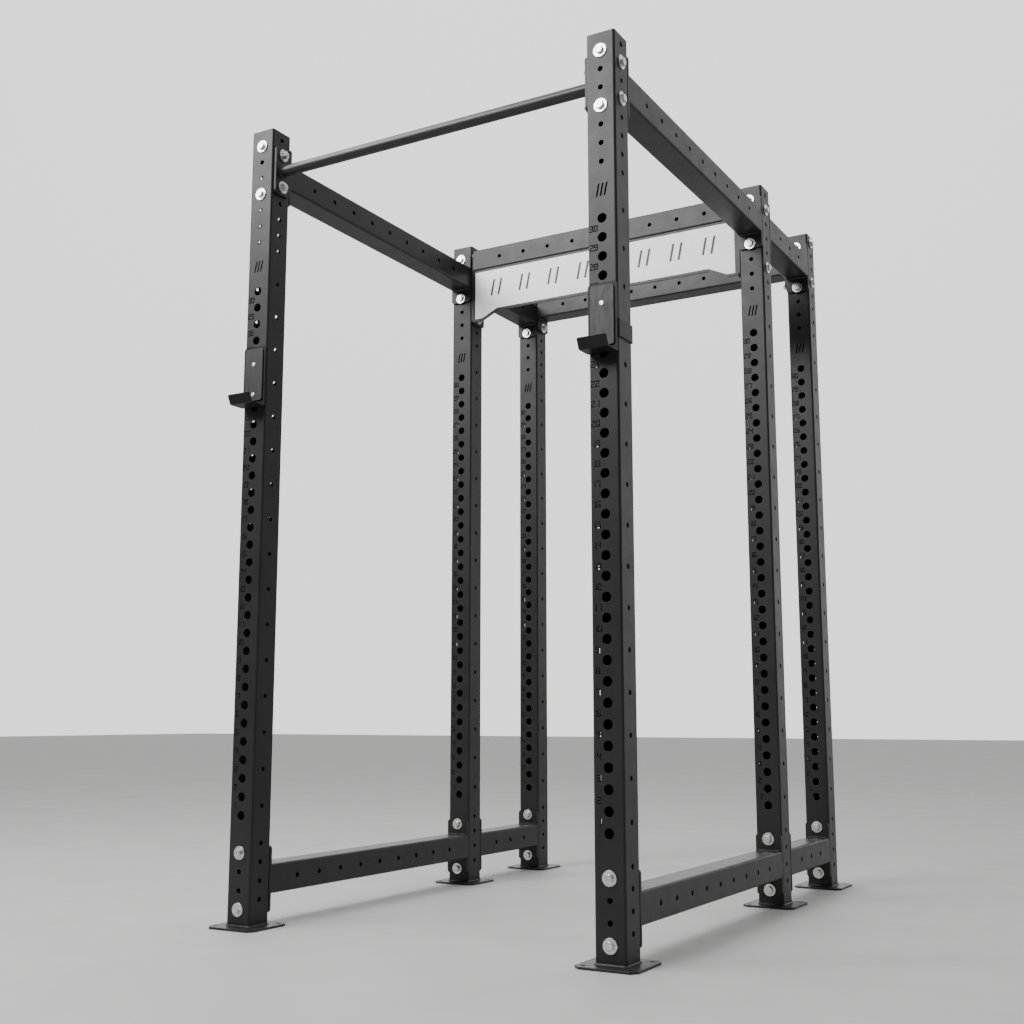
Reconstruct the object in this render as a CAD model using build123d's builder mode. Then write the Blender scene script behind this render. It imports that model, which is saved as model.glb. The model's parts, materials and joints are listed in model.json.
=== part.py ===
from build123d import *
from math import cos, isclose, radians, sin
import os

os.makedirs("parts", exist_ok=True)

# Frame: millimetres, +Z up, +X to the user's right, +Y from the open front towards the rear.
# The origin lies on the floor under the middle of the whole cage.

# --- square tube and its hole grid ---------------------------------------------------------
tube = 80.0
tube_wall = 3.0
tube_corner = 6.0
half = tube / 2
tube_bore = tube - 2 * tube_wall
bore_corner = tube_corner - tube_wall
pitch = 50.0
peg_hole_r = 12.5
bolt_hole_r = 7.0

# --- uprights: six of one shape ------------------------------------------------------------
upright_top = 2300.0
cage_half = 560.0
inner_half = cage_half - half
outer_half = cage_half + half
bay_front = 1120.0
bay_rear = 500.0
first_peg_hole_z = 300.0
peg_hole_count = 31
# runs of small holes: lowest hole, number of holes, spacing
front_hole_runs = ((50.0, 4, pitch), (1950.0, 7, pitch))
side_hole_runs = ((75.0, 4, pitch), (325.0, 16, 2 * pitch), (1925.0, 8, pitch))

# --- numbers cut beside the peg holes, as stencil strokes ----------------------------------
numbered_holes = 30
digit_w = 8.0
digit_h = 13.8
digit_stroke = 2.8
digit_bridge = 0.6
digit_step = 12.4
number_x = -24.0
number_rise = 25.0
segments_of = {
    "0": "abcdef", "1": "bc", "2": "abged", "3": "abgcd", "4": "fgbc",
    "5": "afgcd", "6": "afgecd", "7": "abc", "8": "abcdefg", "9": "abcdfg",
}
# upright strokes: side and half of the digit; flat strokes: height, and the strokes at each end
upright_strokes = {"f": (-1, 1), "b": (1, 1), "e": (-1, -1), "c": (1, -1)}
flat_strokes = {"a": (1, "f", "b"), "g": (0, "fe", "bc"), "d": (-1, "e", "c")}
slot_mark_z = 1875.0
slot_mark_w = 4.5
slot_mark_h = 34.0
slot_mark_step = 11.0
slot_mark_slant = 12.0

# --- end caps: hollow plugs pushed into the tops of the uprights -----------------------------
cap_fit = 0.15
cap_plate = 2.5
cap_depth = 14.0
cap_wall = 2.0
cap_edge = 0.6

# --- foot plates ---------------------------------------------------------------------------
foot_side = 160.0
foot_t = 6.0
foot_chamfer = 16.0
foot_hole_r = 6.0
foot_hole_spacing = 120.0
foot_edge = 0.6

# --- flange plates: width, height, corner radius -------------------------------------------
flange_t = 8.0
side_flange = (80.0, 180.0, 10.0)
pull_up_flange = (65.0, 150.0, 12.0)
name_flange = (76.0, 275.0, 12.0)
flange_edge = 15.0

# --- crossmembers --------------------------------------------------------------------------
top_z = 2175.0
bottom_z = 125.0
name_tube_z = 2240.0
name_flange_z = 2137.5
rear_tube_z = 2200.0
pull_up_z = 2175.0
bar_r = 16.5
cross_hole_step = 100.0
cross_hole_count = 9
side_hole_count = {"front": 9, "rear": 3}

# --- nameplate: a dark plate under the crossmember, a white panel on its face ---------------
plate_set_back = 2.5
plate_t = 6.0
plate_bottom = 2005.0
plate_rise = 30.0
plate_slope_outer = 474.0
plate_slope_inner = 410.0
panel_t = 1.0
panel_border = 9.0
bar_mark_w = 8.5
bar_mark_h = 61.5
bar_mark_slant = 11.8
bar_mark_z = 2125.0
bar_pair_spacing = 30.0
bar_pair_count = 8
bar_pair_step = 118.0

# --- J-cups --------------------------------------------------------------------------------
cup_t = 3.0
cup_gap = 0.3
cup_bend = 6.0
cup_top = 1630.0
cup_bottom = 1450.0
cup_shelf_reach = 56.5
cup_lip_reach = 69.0
cup_lip_top = 1477.0
cup_corner = 9.0
lip_corner = 4.5
peg_z = 1600.0
peg_r = 12.2
peg_length = 50.0
peg_chamfer = 2.0
strap_z = 1511.0
strap_height = 44.0
strap_tab = 24.0
liner_width = 65.0
liner_top = 1623.0
liner_bottom = 1468.0
liner_t = 4.0
liner_corner = 8.0
liner_edge = 0.8
rivet_heights = (1576.5, 1486.5)
rivet_r = 3.0
rivet_hole_r = 3.1
rivet_head_r = 6.25
rivet_head_t = 2.0
rivet_head_edge = 1.2

# --- fasteners: M12 bolts with wide washers ------------------------------------------------
bolt_r = 6.0
hex_af = 19.0
hex_bevel_r = 9.2
hex_bevel = 1.1
hex_reach = 11.5
head_h = 7.5
nut_h = 10.0
nut_bore_r = 6.05
bolt_proud = 4.0
bolt_chamfer = 1.0
washer_r = 18.5
washer_bore_r = 6.5
washer_t = 3.0
washer_edge = 0.4
bolt_turn = 23.0

# The cage reaches from the tips of the J-cup lips to the rear edges of the rear foot plates.
rear_reach = bay_front + bay_rear + half + foot_side / 2
front_y = (cup_lip_reach - rear_reach) / 2
row_y = {"front": front_y, "middle": front_y + bay_front, "rear": front_y + bay_front + bay_rear}
sides = {"left": -1, "right": 1}


def save(part, name):
    """Label a finished piece and write it to its own file."""
    part.label = name
    export_step(part, f"parts/{name}.step")


def heights(runs):
    """Heights of every hole in the given runs."""
    return [lowest + spacing * n for lowest, count, spacing in runs for n in range(count)]


def square_tube_section():
    """Square tube, cut across, around the origin of the current sketch."""
    RectangleRounded(tube, tube, tube_corner)
    RectangleRounded(tube_bore, tube_bore, bore_corner, mode=Mode.SUBTRACT)


def stencil_digit(digit):
    """Separate strokes of one digit; narrow bridges between them keep its middle in place."""
    drawn = segments_of[digit]
    edge = (digit_w + digit_stroke) / 2
    inside = (digit_w - digit_stroke) / 2 - digit_bridge
    for segment in drawn:
        if segment in flat_strokes:
            up, before, after = flat_strokes[segment]
            left = -inside if set(before) & set(drawn) else -edge
            right = inside if set(after) & set(drawn) else edge
            with Locations(((left + right) / 2, up * digit_h / 2)):
                Rectangle(right - left, digit_stroke)
        else:
            across, up = upright_strokes[segment]
            low = digit_bridge / 2
            high = (digit_h + digit_stroke) / 2
            with Locations((across * digit_w / 2, up * (low + high) / 2)):
                Rectangle(digit_stroke, high - low)


# --- upright -------------------------------------------------------------------------------
peg_hole_heights = [first_peg_hole_z + pitch * n for n in range(peg_hole_count)]
with BuildPart() as upright:
    with BuildSketch(Plane.XY.offset(foot_t)):
        square_tube_section()
    extrude(amount=upright_top - foot_t)
    with BuildSketch(Plane.XZ):
        with Locations(*[(0, z) for z in peg_hole_heights]):
            Circle(peg_hole_r)
        with Locations(*[(0, z) for z in heights(front_hole_runs)]):
            Circle(bolt_hole_r)
    extrude(amount=tube, both=True, mode=Mode.SUBTRACT)
    with BuildSketch(Plane.YZ):
        with Locations(*[(0, z) for z in heights(side_hole_runs)]):
            Circle(bolt_hole_r)
    extrude(amount=tube, both=True, mode=Mode.SUBTRACT)
    with BuildSketch(Plane.XZ.offset(half - 2 * tube_wall)):
        for number in range(1, numbered_holes + 1):
            hole_z = first_peg_hole_z + pitch * (number - 1)
            digits = str(number)
            for place, digit in enumerate(digits):
                shift = (place - (len(digits) - 1) / 2) * digit_step
                with Locations((number_x + shift, hole_z + number_rise)):
                    stencil_digit(digit)
        with Locations((0, slot_mark_z)):
            with GridLocations(slot_mark_step, 0, 3, 1):
                Rectangle(slot_mark_w, slot_mark_h, rotation=-slot_mark_slant)
    extrude(amount=3 * tube_wall, mode=Mode.SUBTRACT)

for row, y in row_y.items():
    for side, sign in sides.items():
        save(Pos(sign * cage_half, y + half, 0) * upright.part, f"upright_{row}_{side}")

# --- end caps ------------------------------------------------------------------------------
with BuildPart() as end_caps:
    cap_side = tube_bore - 2 * cap_fit
    centres = [(sign * cage_half, y + half) for y in row_y.values() for sign in sides.values()]
    with BuildSketch(Plane.XY.offset(upright_top - cap_depth)):
        with Locations(*centres):
            RectangleRounded(cap_side, cap_side, bore_corner - cap_fit)
    extrude(amount=cap_depth)
    chamfer(end_caps.faces().filter_by(Axis.Z).group_by(Axis.Z)[-1].edges(), length=cap_edge)
    with BuildSketch(Plane.XY.offset(upright_top - cap_depth)):
        with Locations(*centres):
            Rectangle(cap_side - 2 * cap_wall, cap_side - 2 * cap_wall)
    extrude(amount=cap_depth - cap_plate, mode=Mode.SUBTRACT)
save(end_caps.part, "upright_end_caps")

# --- foot plates ---------------------------------------------------------------------------
with BuildPart() as foot_plate:
    with BuildSketch():
        Rectangle(foot_side, foot_side)
        chamfer(vertices(), length=foot_chamfer)
        with GridLocations(foot_hole_spacing, foot_hole_spacing, 2, 2):
            Circle(foot_hole_r, mode=Mode.SUBTRACT)
    extrude(amount=foot_t)
    chamfer(foot_plate.faces().sort_by(Axis.Z)[-1].outer_wire().edges(), length=foot_edge)

for row, y in row_y.items():
    for side, sign in sides.items():
        save(Pos(sign * cage_half, y + half, 0) * foot_plate.part, f"foot_plate_{row}_{side}")


# --- side crossmembers: a tube between two flange plates, bolted front to back --------------
def side_crossmember(name, sign, z, y_from, y_to, hole_count):
    x = sign * cage_half
    with BuildPart() as member:
        with BuildSketch(Plane(origin=(x, y_from + flange_t, z), x_dir=(-1, 0, 0), z_dir=(0, 1, 0))):
            square_tube_section()
        extrude(amount=y_to - y_from - 2 * flange_t)
        with BuildSketch(Plane(origin=(x, (y_from + y_to) / 2, z), x_dir=(0, 1, 0), z_dir=(1, 0, 0))):
            with GridLocations(cross_hole_step, 0, hole_count, 1):
                Circle(bolt_hole_r)
        extrude(amount=tube, both=True, mode=Mode.SUBTRACT)
    save(member.part, f"crossmember_{name}")
    with BuildPart() as flanges:
        for y in (y_from, y_to - flange_t):
            with BuildSketch(Plane(origin=(x, y, z), x_dir=(-1, 0, 0), z_dir=(0, 1, 0))):
                width, height, corner = side_flange
                RectangleRounded(width, height, corner)
                with GridLocations(0, height - 2 * flange_edge, 1, 2):
                    Circle(bolt_hole_r, mode=Mode.SUBTRACT)
        extrude(amount=flange_t)
    save(flanges.part, f"flanges_{name}")


bays = {"front": ("front", "middle"), "rear": ("middle", "rear")}
for side, sign in sides.items():
    for bay, (near, far) in bays.items():
        for level, z in {"top": top_z, "bottom": bottom_z}.items():
            near_y = row_y[near] + tube
            side_crossmember(f"{level}_{side}_{bay}", sign, z, near_y, row_y[far], side_hole_count[bay])


# --- crossmembers from left to right -------------------------------------------------------
cross_half = inner_half - flange_t


def cross_tube(name, y, z):
    """Square tube between the two flange plates of one row, holes through front and back."""
    with BuildPart() as member:
        with BuildSketch(Plane(origin=(-cross_half, y + half, z), x_dir=(0, 1, 0), z_dir=(1, 0, 0))):
            square_tube_section()
        extrude(amount=2 * cross_half)
        with BuildSketch(Plane(origin=(0, y + half, z), x_dir=(1, 0, 0), z_dir=(0, -1, 0))):
            with GridLocations(cross_hole_step, 0, cross_hole_count, 1):
                Circle(bolt_hole_r)
        extrude(amount=tube, both=True, mode=Mode.SUBTRACT)
    save(member.part, name)


def cross_flanges(name, size, y, z, bolt_heights):
    """Pair of flange plates against the inner faces of one row of uprights."""
    width, height, corner = size
    with BuildPart() as flanges:
        for x in (-inner_half, cross_half):
            with BuildSketch(Plane(origin=(x, y + half, z), x_dir=(0, 1, 0), z_dir=(1, 0, 0))):
                RectangleRounded(width, height, corner)
                with Locations(*[(0, bolt_z - z) for bolt_z in bolt_heights]):
                    Circle(bolt_hole_r, mode=Mode.SUBTRACT)
        extrude(amount=flange_t)
    save(flanges.part, name)


# Heights of the bolts through each row's cross flanges, all on the side holes of the uprights.
cross_bolt_heights = {
    "front": (pull_up_z + pitch, pull_up_z - pitch),
    "middle": (pull_up_z + pitch, pull_up_z - 3 * pitch),
    "rear": (rear_tube_z + 1.5 * pitch, rear_tube_z - 1.5 * pitch),
}
cross_tube("rear_crossmember", row_y["rear"], rear_tube_z)
cross_flanges("rear_flanges", side_flange, row_y["rear"], rear_tube_z, cross_bolt_heights["rear"])
cross_tube("nameplate_crossmember", row_y["middle"], name_tube_z)
cross_flanges("nameplate_flanges", name_flange, row_y["middle"], name_flange_z, cross_bolt_heights["middle"])
cross_flanges("pull_up_flanges", pull_up_flange, row_y["front"], pull_up_z, cross_bolt_heights["front"])

with BuildPart() as pull_up_bar:
    with BuildSketch(Plane.YZ.offset(-cross_half)):
        with Locations((front_y + half, pull_up_z)):
            Circle(bar_r)
    extrude(amount=2 * cross_half)
save(pull_up_bar.part, "pull_up_bar")


# --- nameplate -----------------------------------------------------------------------------
def nameplate_outline(inset):
    """Straight top; the lower edge rises by two slopes towards the middle."""
    side_x = cross_half - inset
    top = name_tube_z - half - inset
    low = plate_bottom + inset
    high = low + plate_rise
    Polyline(
        (-side_x, top), (-side_x, low), (-plate_slope_outer, low), (-plate_slope_inner, high),
        (plate_slope_inner, high), (plate_slope_outer, low), (side_x, low), (side_x, top), close=True,
    )


plate_face = Plane(origin=(0, row_y["middle"] + plate_set_back, 0), x_dir=(1, 0, 0), z_dir=(0, -1, 0))
with BuildPart() as nameplate:
    with BuildSketch(plate_face):
        with BuildLine():
            nameplate_outline(0)
        make_face()
    extrude(amount=-plate_t)
save(nameplate.part, "nameplate_plate")

with BuildPart() as nameplate_panel:
    with BuildSketch(plate_face):
        with BuildLine():
            nameplate_outline(panel_border)
        make_face()
        with Locations((0, bar_mark_z)):
            with GridLocations(bar_pair_step, 0, bar_pair_count, 1):
                with GridLocations(bar_pair_spacing, 0, 2, 1):
                    Rectangle(bar_mark_w, bar_mark_h, rotation=-bar_mark_slant, mode=Mode.SUBTRACT)
    extrude(amount=panel_t)
save(nameplate_panel.part, "nameplate_panel")


# --- J-cups: mirror images, each hanging by a peg in a front upright ------------------------
def j_cup(side, sign):
    x = sign * cage_half
    with BuildPart() as body:
        with BuildSketch(Plane(origin=(x - half, front_y, 0), x_dir=(0, 1, 0), z_dir=(1, 0, 0))):
            with BuildLine():
                outer = FilletPolyline(
                    (-cup_gap, cup_top), (-cup_gap, cup_bottom), (-cup_shelf_reach, cup_bottom),
                    (-cup_lip_reach, cup_lip_top), radius=cup_bend,
                )
                offset(outer, amount=cup_t, side=Side.RIGHT)
            make_face()
        extrude(amount=tube)
        fillet(body.edges().filter_by(Axis.Y).group_by(Axis.Z)[-1], radius=cup_corner)
        across_plate = body.edges().filter_by(lambda edge: isclose(edge.length, cup_t, abs_tol=0.01))
        fillet(across_plate.group_by(Axis.Y)[0], radius=lip_corner)
        with BuildSketch(Plane.XY.offset(strap_z - strap_height / 2)):
            with BuildLine():
                strap_x = sign * (outer_half + cup_gap + cup_t)
                plate_y = front_y - cup_gap - cup_t
                back_y = front_y + tube + cup_gap + cup_t
                wrap = FilletPolyline(
                    (x, plate_y), (strap_x, plate_y), (strap_x, back_y),
                    (strap_x - sign * strap_tab, back_y), radius=cup_bend,
                )
                offset(wrap, amount=cup_t, side=Side.LEFT if sign > 0 else Side.RIGHT)
            make_face()
        extrude(amount=strap_height)
        with BuildSketch(Plane.XZ.offset(-front_y)):
            with Locations(*[(x, z) for z in rivet_heights]):
                Circle(rivet_hole_r)
        extrude(amount=2 * cup_t, mode=Mode.SUBTRACT)
    save(body.part, f"j_cup_{side}_body")
    liner_back = Plane.XZ.offset(-(front_y - cup_gap - cup_t))
    with BuildPart() as liner:
        with BuildSketch(liner_back):
            with Locations((x, (liner_top + liner_bottom) / 2)):
                RectangleRounded(liner_width, liner_top - liner_bottom, liner_corner)
            with Locations(*[(x, z) for z in rivet_heights]):
                Circle(rivet_hole_r, mode=Mode.SUBTRACT)
        extrude(amount=liner_t)
        chamfer(liner.faces().sort_by(Axis.Y)[0].outer_wire().edges(), length=liner_edge)
    save(liner.part, f"j_cup_{side}_liner")
    plate_back = Plane.XZ.offset(-(front_y - cup_gap))
    with BuildPart() as peg:
        with BuildSketch(plate_back):
            with Locations((x, peg_z)):
                Circle(peg_r)
        extrude(amount=-peg_length)
        chamfer(peg.faces().sort_by(Axis.Y)[-1].edges(), length=peg_chamfer)
    save(peg.part, f"j_cup_{side}_peg")
    with BuildPart() as rivets:
        with BuildSketch(plate_back):
            with Locations(*[(x, z) for z in rivet_heights]):
                Circle(rivet_r)
        extrude(amount=cup_t + liner_t)
        with BuildSketch(liner_back.offset(liner_t)):
            with Locations(*[(x, z) for z in rivet_heights]):
                Circle(rivet_head_r)
        extrude(amount=rivet_head_t)
        fillet(rivets.edges().filter_by(GeomType.CIRCLE).group_by(Axis.Y)[0], radius=rivet_head_edge)
    save(rivets.part, f"j_cup_{side}_rivets")


for side, sign in sides.items():
    j_cup(side, sign)


# --- bolts, washers and nuts ---------------------------------------------------------------
def bolt_shape(clamped):
    """Hexagon bolt along +Z with the underside of its head at the origin."""
    with BuildPart() as bolt:
        with BuildSketch():
            RegularPolygon(hex_af / 2, 6, major_radius=False)
        extrude(amount=-head_h)
        with BuildSketch(Plane.XZ):
            with BuildLine():
                Polyline(
                    (hex_bevel_r, -head_h), (hex_reach, -head_h), (hex_reach, -head_h + hex_bevel), close=True
                )
            make_face()
        revolve(axis=Axis.Z, mode=Mode.SUBTRACT)
        with BuildSketch():
            Circle(bolt_r)
        extrude(amount=clamped + 2 * washer_t + nut_h + bolt_proud)
        chamfer(bolt.faces().sort_by(Axis.Z)[-1].edges(), length=bolt_chamfer)
    return bolt.part


def nut_shape():
    """Hexagon nut standing on the origin."""
    with BuildPart() as nut:
        with BuildSketch():
            RegularPolygon(hex_af / 2, 6, major_radius=False)
            Circle(nut_bore_r, mode=Mode.SUBTRACT)
        extrude(amount=nut_h)
        with BuildSketch(Plane.XZ):
            with BuildLine():
                Polyline((hex_bevel_r, nut_h), (hex_reach, nut_h), (hex_reach, nut_h - hex_bevel), close=True)
            make_face()
        revolve(axis=Axis.Z, mode=Mode.SUBTRACT)
    return nut.part


def washer_shape():
    """Wide flat washer standing on the origin."""
    with BuildPart() as washer:
        with BuildSketch():
            Circle(washer_r)
            Circle(washer_bore_r, mode=Mode.SUBTRACT)
        extrude(amount=washer_t)
        chamfer(washer.edges().filter_by(GeomType.CIRCLE), length=washer_edge)
    return washer.part


def bolt_stations(row):
    """For each bolt of one row: the plane of its head's bearing face, and the length it clamps."""
    stations = []
    before = 0 if row == "front" else flange_t
    behind = 0 if row == "rear" else flange_t
    reach = side_flange[1] / 2 - flange_edge
    for sign in sides.values():
        for z in (top_z + reach, top_z - reach, bottom_z + reach, bottom_z - reach):
            turn = radians(bolt_turn * len(stations))
            face = Plane(
                origin=(sign * cage_half, row_y[row] - before, z),
                x_dir=(cos(turn), 0, sin(turn)), z_dir=(0, 1, 0),
            )
            stations.append((face, tube + before + behind))
        for z in cross_bolt_heights[row]:
            turn = radians(bolt_turn * len(stations))
            face = Plane(
                origin=(sign * outer_half, row_y[row] + half, z),
                x_dir=(0, cos(turn), sin(turn)), z_dir=(-sign, 0, 0),
            )
            stations.append((face, tube + flange_t))
    return stations


one_nut = nut_shape()
one_washer = washer_shape()
one_bolt = {clamped: bolt_shape(clamped) for clamped in (tube + flange_t, tube + 2 * flange_t)}
for row in row_y:
    stations = bolt_stations(row)
    with BuildPart() as bolts:
        for face, clamped in stations:
            with Locations(face.offset(-washer_t)):
                add(one_bolt[clamped])
    save(bolts.part, f"bolts_{row}")
    with BuildPart() as washers:
        with Locations(*[face.offset(-washer_t) for face, clamped in stations]):
            add(one_washer)
        with Locations(*[face.offset(clamped) for face, clamped in stations]):
            add(one_washer)
    save(washers.part, f"washers_{row}")
    with BuildPart() as nuts:
        with Locations(*[face.offset(clamped + washer_t) for face, clamped in stations]):
            add(one_nut)
    save(nuts.part, f"nuts_{row}")
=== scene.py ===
import json
import math

import bmesh
import bpy
from mathutils import Matrix, Vector


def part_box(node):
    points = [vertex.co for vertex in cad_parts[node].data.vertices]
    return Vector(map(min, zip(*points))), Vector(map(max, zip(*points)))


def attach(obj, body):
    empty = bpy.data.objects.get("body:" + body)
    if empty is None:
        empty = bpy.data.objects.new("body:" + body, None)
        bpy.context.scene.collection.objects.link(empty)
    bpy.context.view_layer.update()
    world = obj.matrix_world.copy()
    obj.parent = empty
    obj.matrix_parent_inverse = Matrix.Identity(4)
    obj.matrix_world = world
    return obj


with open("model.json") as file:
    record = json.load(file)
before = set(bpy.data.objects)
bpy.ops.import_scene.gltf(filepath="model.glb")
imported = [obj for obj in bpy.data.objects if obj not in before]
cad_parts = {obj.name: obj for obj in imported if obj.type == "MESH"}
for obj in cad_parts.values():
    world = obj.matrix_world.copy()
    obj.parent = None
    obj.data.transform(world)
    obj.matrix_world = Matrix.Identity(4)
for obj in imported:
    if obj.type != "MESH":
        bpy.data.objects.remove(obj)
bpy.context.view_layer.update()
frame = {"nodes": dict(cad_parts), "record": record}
cad = frame["nodes"]

# Driving dimensions in metres, read from the frame wherever a node states them.
MM = 0.001
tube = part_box("upright_front_left")[1][0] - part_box("upright_front_left")[0][0]
tube_corner = 6 * MM
row_front = {row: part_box(f"upright_{row}_left")[0][1] for row in ("front", "middle", "rear")}
column_x = {"left": -1, "right": 1}
upright_x = (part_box("upright_front_right")[0][0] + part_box("upright_front_right")[1][0]) / 2
foot_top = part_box("foot_plate_front_left")[1][2]


# --- shader building -----------------------------------------------------------------------
bevel_samples = 4
flat_cosine = 0.97
edge_cosine = 0.72
mix_first = 6
mix_second = 7
mix_result = 2


def new_material(name):
    """A material with its node tree and its Principled shader."""
    made = bpy.data.materials.new(name)
    made.use_nodes = True
    return made, made.node_tree, made.node_tree.nodes["Principled BSDF"]


def node(tree, kind, settings=None, **values):
    """A shader node with its settings, and values for its input sockets."""
    made = tree.nodes.new(kind)
    for key, value in (settings or {}).items():
        setattr(made, key, value)
    for key, value in values.items():
        made.inputs[key.replace("_", " ")].default_value = value
    return made


def noise(tree, scale, detail=2.0, stretch=(1, 1, 1)):
    """Noise in the object's own metres: scale is the number of features per metre."""
    place = node(tree, "ShaderNodeTexCoord")
    mapping = node(tree, "ShaderNodeMapping", Scale=stretch)
    made = node(tree, "ShaderNodeTexNoise", Scale=scale, Detail=detail)
    tree.links.new(place.outputs["Object"], mapping.inputs["Vector"])
    tree.links.new(mapping.outputs["Vector"], made.inputs["Vector"])
    return made.outputs["Fac"]


def spread(tree, source, low, high, target, start=0.35, end=0.65):
    """Maps the middle of a noise onto low..high and feeds it to a value socket."""
    made = node(tree, "ShaderNodeMapRange", From_Min=start, From_Max=end, To_Min=low, To_Max=high)
    tree.links.new(source, made.inputs["Value"])
    tree.links.new(made.outputs["Result"], target)


def two_tone(tree, source, dark, light, start=0.35, end=0.65):
    """A colour that runs from dark to light with the source; returns the colour socket."""
    ramp = node(tree, "ShaderNodeValToRGB")
    ramp.color_ramp.elements[0].position = start
    ramp.color_ramp.elements[0].color = (*dark, 1)
    ramp.color_ramp.elements[1].position = end
    ramp.color_ramp.elements[1].color = (*light, 1)
    tree.links.new(source, ramp.inputs["Fac"])
    return ramp.outputs["Color"]


def relief(tree, shader, source, depth, edge):
    """Surface relief of the given depth in metres, over edges rounded by the given radius."""
    rounded = node(tree, "ShaderNodeBevel", {"samples": bevel_samples}, Radius=edge)
    bump = node(tree, "ShaderNodeBump", Strength=1.0, Distance=depth)
    tree.links.new(source, bump.inputs["Height"])
    tree.links.new(rounded.outputs["Normal"], bump.inputs["Normal"])
    tree.links.new(bump.outputs["Normal"], shader.inputs["Normal"])
    return rounded.outputs["Normal"]


def edge_mask(tree, rounded):
    """Near 1 on rounded edges and 0 on flats: how far the rounded normal leans from the true one."""
    geometry = node(tree, "ShaderNodeNewGeometry")
    dot = node(tree, "ShaderNodeVectorMath", {"operation": "DOT_PRODUCT"})
    tree.links.new(rounded, dot.inputs[0])
    tree.links.new(geometry.outputs["True Normal"], dot.inputs[1])
    mask = node(tree, "ShaderNodeMapRange",
                From_Min=flat_cosine, From_Max=edge_cosine, To_Min=0.0, To_Max=1.0)
    tree.links.new(dot.outputs["Value"], mask.inputs["Value"])
    return mask.outputs["Result"]


def mix_colours(tree, factor, first, second):
    """first where the factor is 0 and second, a plain colour, where it is 1."""
    made = node(tree, "ShaderNodeMix", {"data_type": "RGBA"})
    tree.links.new(factor, made.inputs["Factor"])
    tree.links.new(first, made.inputs[mix_first])
    made.inputs[mix_second].default_value = (*second, 1)
    return made.outputs[mix_result]


# --- materials -----------------------------------------------------------------------------
def powder_coat(name, dark, light, edge_tone, sheen):
    """Satin powder coat: fine orange peel, cloudy gloss, thinner and greyer on the edges."""
    made, tree, shader = new_material(name)
    rounded = relief(tree, shader, noise(tree, scale=520, detail=3), depth=0.06 * MM, edge=0.9 * MM)
    tone = two_tone(tree, noise(tree, scale=9, detail=4), dark, light)
    worn = node(tree, "ShaderNodeMath", {"operation": "MULTIPLY"})
    tree.links.new(edge_mask(tree, rounded), worn.inputs[0])
    spread(tree, noise(tree, scale=60, detail=4), 0.15, 0.75, worn.inputs[1])
    tree.links.new(mix_colours(tree, worn.outputs["Value"], tone, edge_tone), shader.inputs["Base Color"])
    spread(tree, noise(tree, scale=24, detail=5), 0.38, 0.43, shader.inputs["Roughness"])
    shader.inputs["Specular IOR Level"].default_value = sheen
    return made


def zinc_plate():
    """Bright zinc: metallic, faintly mottled, with fine rolling scratches."""
    made, tree, shader = new_material("zinc")
    shader.inputs["Metallic"].default_value = 1.0
    relief(tree, shader, noise(tree, scale=500, detail=2), depth=0.02 * MM, edge=0.3 * MM)
    tone = two_tone(tree, noise(tree, scale=160, detail=4), (0.60, 0.60, 0.59), (0.88, 0.88, 0.86))
    tree.links.new(tone, shader.inputs["Base Color"])
    spread(tree, noise(tree, scale=300, detail=3), 0.24, 0.42, shader.inputs["Roughness"])
    return made


def aluminium():
    """Rivet heads: pale, soft-rolled aluminium."""
    made, tree, shader = new_material("rivet")
    shader.inputs["Metallic"].default_value = 1.0
    relief(tree, shader, noise(tree, scale=1200, detail=2), depth=0.03 * MM, edge=0.3 * MM)
    tone = two_tone(tree, noise(tree, scale=250, detail=3), (0.74, 0.74, 0.75), (0.90, 0.90, 0.91))
    tree.links.new(tone, shader.inputs["Base Color"])
    spread(tree, noise(tree, scale=400, detail=3), 0.30, 0.45, shader.inputs["Roughness"])
    return made


def white_panel():
    """Smooth white sign panel with a trace of dust."""
    made, tree, shader = new_material("panel_white")
    relief(tree, shader, noise(tree, scale=300, detail=2), depth=0.02 * MM, edge=0.3 * MM)
    tone = two_tone(tree, noise(tree, scale=14, detail=5), (0.88, 0.88, 0.875), (0.92, 0.92, 0.915))
    tree.links.new(tone, shader.inputs["Base Color"])
    spread(tree, noise(tree, scale=30, detail=4), 0.30, 0.42, shader.inputs["Roughness"])
    return made


def liner_plastic():
    """Dark UHMW polyethylene: waxy, with fine drawn scuffs up and down."""
    made, tree, shader = new_material("cup_liner")
    drawn = noise(tree, scale=700, detail=4, stretch=(1, 1, 0.08))
    relief(tree, shader, drawn, depth=0.06 * MM, edge=0.6 * MM)
    scuffs = noise(tree, scale=90, detail=5, stretch=(1, 1, 0.15))
    tone = two_tone(tree, scuffs, (0.014, 0.014, 0.015), (0.020, 0.020, 0.021))
    tree.links.new(tone, shader.inputs["Base Color"])
    rubbed = noise(tree, scale=120, detail=4, stretch=(1, 1, 0.2))
    spread(tree, rubbed, 0.42, 0.60, shader.inputs["Roughness"])
    return made


def cap_plastic():
    """Black moulded plastic with a fine spark-eroded grain."""
    made, tree, shader = new_material("cap_plastic")
    relief(tree, shader, noise(tree, scale=1100, detail=3), depth=0.04 * MM, edge=0.5 * MM)
    tone = two_tone(tree, noise(tree, scale=40, detail=4), (0.018, 0.018, 0.019), (0.026, 0.026, 0.027))
    tree.links.new(tone, shader.inputs["Base Color"])
    spread(tree, noise(tree, scale=200, detail=3), 0.48, 0.58, shader.inputs["Roughness"])
    return made


def floor_paint():
    """Plain pale floor."""
    made, tree, shader = new_material("floor")
    tone = two_tone(tree, noise(tree, scale=3, detail=4), (0.43, 0.43, 0.428), (0.46, 0.46, 0.457))
    tree.links.new(tone, shader.inputs["Base Color"])
    spread(tree, noise(tree, scale=12, detail=4), 0.55, 0.68, shader.inputs["Roughness"])
    return made


def grey(value):
    """A neutral colour."""
    return (value,) * 3


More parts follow.
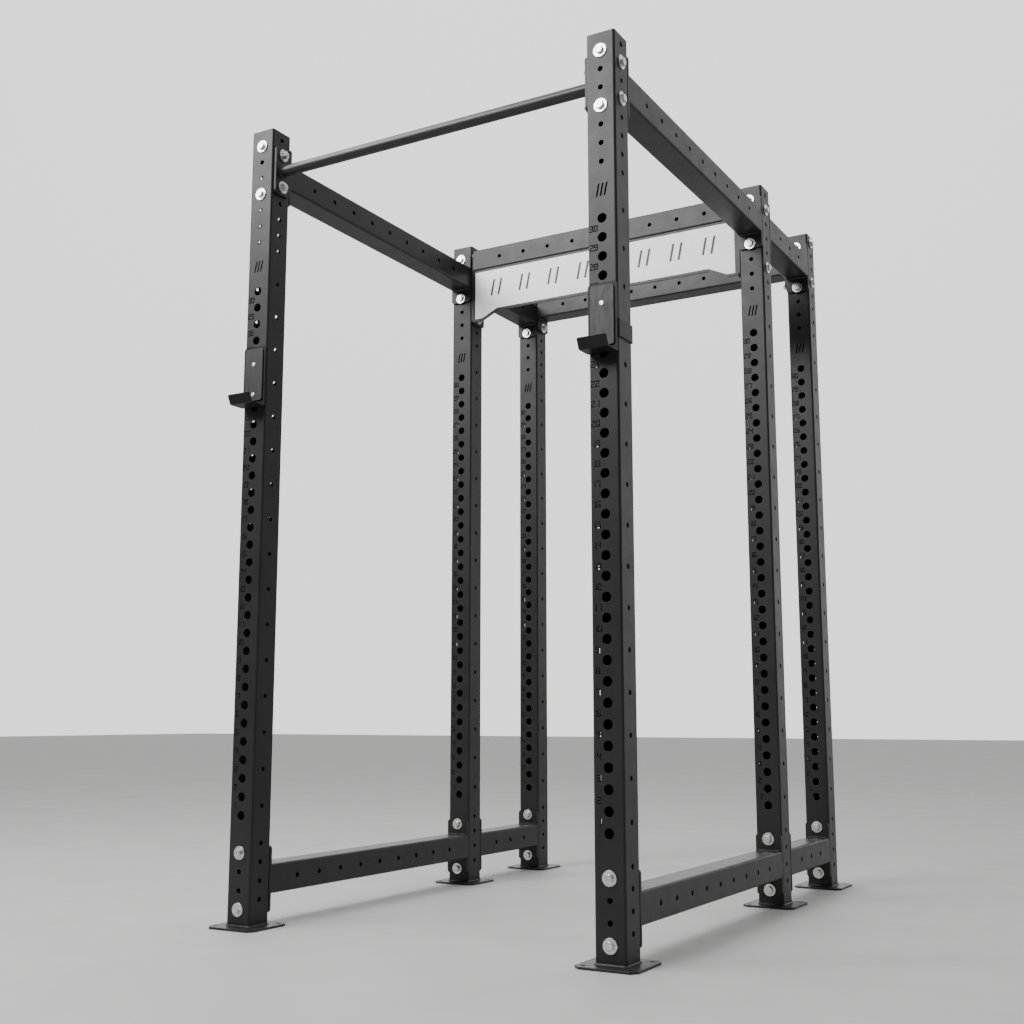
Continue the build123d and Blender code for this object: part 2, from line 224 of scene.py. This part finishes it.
frame_coat = powder_coat("powder_coat", grey(0.017), grey(0.021), edge_tone=grey(0.045), sheen=0.34)
cup_coat = powder_coat("cup_coat", grey(0.009), grey(0.012), edge_tone=grey(0.035), sheen=0.22)
bar_coat = powder_coat("bar_coat", grey(0.012), grey(0.015), edge_tone=grey(0.045), sheen=0.48)
materials = {
    "powder_coat": frame_coat,
    "zinc": zinc_plate(),
    "rivet": aluminium(),
    "cup_liner": liner_plastic(),
    "cap_plastic": cap_plastic(),
    "panel_white": white_panel(),
}

for part in frame["record"]["subparts"]:
    for slot in cad[part["node"]].material_slots:
        slot.material = materials[part["material_slot"]]
coats = {"j_cup_left_body": cup_coat, "j_cup_right_body": cup_coat, "pull_up_bar": bar_coat}
for node_name, coat in coats.items():
    for slot in cad[node_name].material_slots:
        slot.material = coat


# --- weld beads ----------------------------------------------------------------------------
bead_leg = 4.5 * MM
bead_ripple = 3.2 * MM
bead_ripple_depth = 0.35 * MM
bead_step = 0.8 * MM
bead_faces = 6
bead_hollow = 0.72
bead_sink = 0.5 * MM


def add_bead(mesh, route, normal_of, rise_of, closed):
    """Adds a fillet bead along the route: normal_of and rise_of give the directions of the two legs."""
    rings = []
    for travelled, point in route:
        wave = 1 - abs(math.sin(math.pi * travelled / bead_ripple)) * bead_ripple_depth / bead_leg
        out, up = normal_of(point), rise_of(point)
        ring = []
        for n in range(bead_faces + 1):
            turn = math.pi / 2 * n / bead_faces
            crown = bead_leg * wave * (bead_hollow + (1 - bead_hollow) * abs(math.cos(2 * turn)))
            ring.append(mesh.verts.new(point + out * crown * math.cos(turn) + up * crown * math.sin(turn)))
        ring.append(mesh.verts.new(point - (out + up) * bead_sink))
        rings.append(ring)
    pairs = list(zip(rings, rings[1:]))
    if closed:
        pairs.append((rings[-1], rings[0]))
    else:
        mesh.faces.new(rings[0])
        mesh.faces.new(reversed(rings[-1]))
    for first, second in pairs:
        for n in range(len(first)):
            mesh.faces.new((first[n], first[n - 1], second[n - 1], second[n]))


def straight_route(start, end):
    """Evenly spaced points from start to end, each with the distance travelled."""
    length = (end - start).length
    count = max(2, round(length / bead_step))
    return [(length * n / count, start.lerp(end, n / count)) for n in range(count + 1)]


def ring_route(outline, length):
    """Points of a closed outline, a function of 0..1, each with the distance travelled."""
    count = round(length / bead_ripple) * round(bead_ripple / bead_step)
    return [(length * n / count, outline(n / count)) for n in range(count)]


def finish_mesh(mesh, name, material, body):
    """Turns a bmesh into a smooth-shaded piece that rides on a body."""
    bmesh.ops.recalc_face_normals(mesh, faces=mesh.faces)
    data = bpy.data.meshes.new(name)
    mesh.to_mesh(data)
    mesh.free()
    data.materials.append(material)
    data.polygons.foreach_set("use_smooth", [True] * len(data.polygons))
    piece = bpy.data.objects.new(name, data)
    bpy.context.scene.collection.objects.link(piece)
    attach(piece, body)


def rounded_square(centre, half, corner):
    """Outline of a rounded square around an upright, as a function of 0..1, and its length."""
    flat = 2 * (half - corner)
    arc = math.pi / 2 * corner
    length = 4 * (flat + arc)

    def outline(part):
        side, along = divmod(part * length, flat + arc)
        turn = math.pi / 2 * side
        if along < flat:
            local = Vector((half, along - flat / 2, 0))
        else:
            swing = (along - flat) / corner
            local = Vector((
                half - corner + corner * math.cos(swing), flat / 2 + corner * math.sin(swing), 0,
            ))
        return centre + Matrix.Rotation(turn, 3, "Z") @ local

    return outline, length


def foot_bead(row, side):
    """Bead all round the foot of one upright."""
    centre = Vector((column_x[side] * upright_x, row_front[row] + tube / 2, foot_top))
    outline, length = rounded_square(centre, tube / 2, tube_corner)
    flat_half = tube / 2 - tube_corner
    mesh = bmesh.new()

    def outward(point):
        core = centre.copy()
        core.x += max(-flat_half, min(flat_half, point.x - centre.x))
        core.y += max(-flat_half, min(flat_half, point.y - centre.y))
        return (point - core).normalized()

    add_bead(mesh, ring_route(outline, length), outward, lambda point: Vector((0, 0, 1)), closed=True)
    finish_mesh(mesh, f"weld_foot_{row}_{side}", frame_coat, "frame")


for row in row_front:
    for side in column_x:
        foot_bead(row, side)


def level_beads(node_name, along):
    """Beads above and below a square tube, along X (0) or Y (1), where it meets its end flanges."""
    low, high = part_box(node_name)
    across = 1 - along
    mesh = bmesh.new()
    for end, inward in ((low[along], 1), (high[along], -1)):
        for z, rise in ((high[2], 1), (low[2], -1)):
            start, finish = Vector((0, 0, z)), Vector((0, 0, z))
            start[along] = finish[along] = end
            start[across], finish[across] = low[across] + tube_corner, high[across] - tube_corner
            leg = Vector((0, 0, 0))
            leg[along] = inward
            up = Vector((0, 0, rise))
            route = straight_route(start, finish)
            add_bead(mesh, route, lambda p, leg=leg: leg, lambda p, up=up: up, closed=False)
    finish_mesh(mesh, f"weld_{node_name}", frame_coat, "frame")


for node_name in cad:
    if node_name.startswith("crossmember_"):
        level_beads(node_name, 1)
level_beads("rear_crossmember", 0)


def bar_beads():
    """A ring of weld where each end of the pull-up bar meets its flange plate."""
    low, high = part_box("pull_up_bar")
    radius = (high[2] - low[2]) / 2
    mesh = bmesh.new()
    for x, inward in ((low[0], 1), (high[0], -1)):
        centre = Vector((x, (low[1] + high[1]) / 2, (low[2] + high[2]) / 2))

        def outline(part, centre=centre):
            turn = math.tau * part
            return centre + radius * Vector((0, math.cos(turn), math.sin(turn)))

        leg = Vector((inward, 0, 0))
        route = ring_route(outline, math.tau * radius)
        add_bead(mesh, route, lambda p, c=centre: (p - c).normalized(), lambda p, leg=leg: leg, closed=True)
    finish_mesh(mesh, "weld_pull_up_bar", frame_coat, "frame")


bar_beads()


# --- threads on the bolt ends --------------------------------------------------------------
thread_pitch = 1.75 * MM
thread_root = 5.9 * MM
thread_crest = 6.3 * MM
thread_steps = 30
thread_flank = 0.42
thread_fade = 6
weld_distance = 0.01 * MM


def solid_boxes(node_name):
    """Lowest and highest corner of each separate solid in a CAD node."""
    mesh = bmesh.new()
    mesh.from_mesh(cad[node_name].data)
    bmesh.ops.remove_doubles(mesh, verts=mesh.verts, dist=weld_distance)
    waiting, boxes = set(mesh.verts), []
    while waiting:
        group, edge = [], [waiting.pop()]
        while edge:
            vertex = edge.pop()
            group.append(vertex.co.copy())
            for link in vertex.link_edges:
                other = link.other_vert(vertex)
                if other in waiting:
                    waiting.remove(other)
                    edge.append(other)
        boxes.append((
            Vector([min(point[axis] for point in group) for axis in range(3)]),
            Vector([max(point[axis] for point in group) for axis in range(3)]),
        ))
    mesh.free()
    return boxes


def add_thread(mesh, start, along, length):
    """A helical ridge round the bolt from start, fading out at both ends."""
    side = along.orthogonal().normalized()
    other = along.cross(side)
    turns = (length - thread_pitch) / thread_pitch
    count = round(turns * thread_steps)
    previous = None
    for n in range(count + 1):
        angle = math.tau * n / thread_steps
        fade = min(1.0, n / thread_fade, (count - n) / thread_fade)
        out = side * math.cos(angle) + other * math.sin(angle)
        centre = start + along * thread_pitch * (0.5 + n / thread_steps)
        crest = thread_root + (thread_crest - thread_root) * fade
        ring = [
            mesh.verts.new(centre + out * thread_root - along * thread_pitch * thread_flank),
            mesh.verts.new(centre + out * crest),
            mesh.verts.new(centre + out * thread_root + along * thread_pitch * thread_flank),
        ]
        if previous:
            for m in range(3):
                mesh.faces.new((previous[m], ring[m], ring[m - 2], previous[m - 2]))
        else:
            mesh.faces.new(ring)
        previous = ring
    mesh.faces.new(reversed(previous))


def bolt_threads(row):
    """Threads on the ends of one row's bolts, from each nut's outer face to the bolt's tip."""
    mesh = bmesh.new()
    nut_boxes = solid_boxes(f"nuts_{row}")
    for low, high in solid_boxes(f"bolts_{row}"):
        size = high - low
        axis = max(range(3), key=lambda n: size[n])
        middle = (low + high) / 2
        beside = [n for n in range(3) if n != axis]
        nut_low, nut_high = next(
            (nut_low, nut_high) for nut_low, nut_high in nut_boxes
            if all(nut_low[n] < middle[n] < nut_high[n] for n in beside)
            and low[axis] < nut_low[axis] < high[axis]
        )
        along = Vector((0, 0, 0))
        start = middle.copy()
        if (nut_low[axis] + nut_high[axis]) / 2 > middle[axis]:
            along[axis], start[axis], length = 1, nut_high[axis], high[axis] - nut_high[axis]
        else:
            along[axis], start[axis], length = -1, nut_low[axis], nut_low[axis] - low[axis]
        add_thread(mesh, start, along, length)
    finish_mesh(mesh, f"bolt_threads_{row}", materials["zinc"], "frame")


for row in row_front:
    bolt_threads(row)


# --- floor, light and camera ---------------------------------------------------------------
floor_size = 60.0
bpy.ops.mesh.primitive_plane_add(size=floor_size, location=(0, 0, 0))
floor = bpy.context.object
floor.name = "floor"
floor.data.materials.append(floor_paint())


def soft_light(name, place, target, width, height, power):
    """Rectangular soft light aimed at a point."""
    lamp = bpy.data.lights.new(name, "AREA")
    lamp.shape = "RECTANGLE"
    lamp.size = width
    lamp.size_y = height
    lamp.energy = power
    made = bpy.data.objects.new(name, lamp)
    made.location = place
    made.rotation_euler = (Vector(target) - Vector(place)).to_track_quat("-Z", "Y").to_euler()
    bpy.context.scene.collection.objects.link(made)


front = row_front["front"]
key_place = (-1.5, front - 2.6, 3.8)
key_target = (-0.1, front + 0.4, 1.9)
left_place = (-1.5, front - 0.7, 3.9)
left_target = (-0.5, front, 2.1)
top_place = (0.0, 0.6, 6.0)
top_target = (0.0, 0.2, 0.0)
soft_light("key_light", key_place, key_target, width=3.4, height=1.6, power=215)
soft_light("left_light", left_place, left_target, width=1.4, height=1.0, power=42)
soft_light("top_light", top_place, top_target, width=4.0, height=4.0, power=130)

wall_direction = Vector((-0.5, 0.86, 0.1)).normalized()
wall_strength = 1.60
front_strength = 0.14
ceiling_strength = 0.20


def studio_world():
    """Pale room: brightest on the wall behind the cage, dimmer low down in front of it."""
    made = bpy.data.worlds.new("studio")
    made.use_nodes = True
    tree = made.node_tree
    place = node(tree, "ShaderNodeTexCoord")
    facing_wall = node(tree, "ShaderNodeVectorMath", {"operation": "DOT_PRODUCT"})
    facing_wall.inputs[1].default_value = wall_direction
    wall = node(tree, "ShaderNodeMapRange", {"interpolation_type": "SMOOTHSTEP"},
                From_Min=0.0, From_Max=1.0, To_Min=front_strength, To_Max=wall_strength)
    axes = node(tree, "ShaderNodeSeparateXYZ")
    ceiling = node(tree, "ShaderNodeMapRange", {"interpolation_type": "SMOOTHSTEP"},
                   From_Min=0.15, From_Max=0.75, To_Min=0.0, To_Max=ceiling_strength)
    total = node(tree, "ShaderNodeMath", {"operation": "ADD"})
    tree.links.new(place.outputs["Generated"], facing_wall.inputs[0])
    tree.links.new(place.outputs["Generated"], axes.inputs["Vector"])
    tree.links.new(facing_wall.outputs["Value"], wall.inputs["Value"])
    tree.links.new(axes.outputs["Z"], ceiling.inputs["Value"])
    tree.links.new(wall.outputs["Result"], total.inputs[0])
    tree.links.new(ceiling.outputs["Result"], total.inputs[1])
    tree.links.new(total.outputs["Value"], tree.nodes["Background"].inputs["Strength"])
    tree.nodes["Background"].inputs["Color"].default_value = (1.0, 1.0, 0.995, 1)
    bpy.context.scene.world = made


studio_world()

# The camera stands low, in front of the right front upright, and looks up and to the left.
camera_lens = 45.01
camera_sensor = 36.0
camera_place = (1.8873, front - 2.7497, 0.5678)
camera_tilt = math.radians(99.088)
camera_heading = math.radians(29.992)
camera_data = bpy.data.cameras.new("camera")
camera_data.sensor_width = camera_sensor
camera_data.lens = camera_lens
camera = bpy.data.objects.new("camera", camera_data)
camera.location = camera_place
camera.rotation_euler = (camera_tilt, 0, camera_heading)
bpy.context.scene.collection.objects.link(camera)
bpy.context.scene.camera = camera
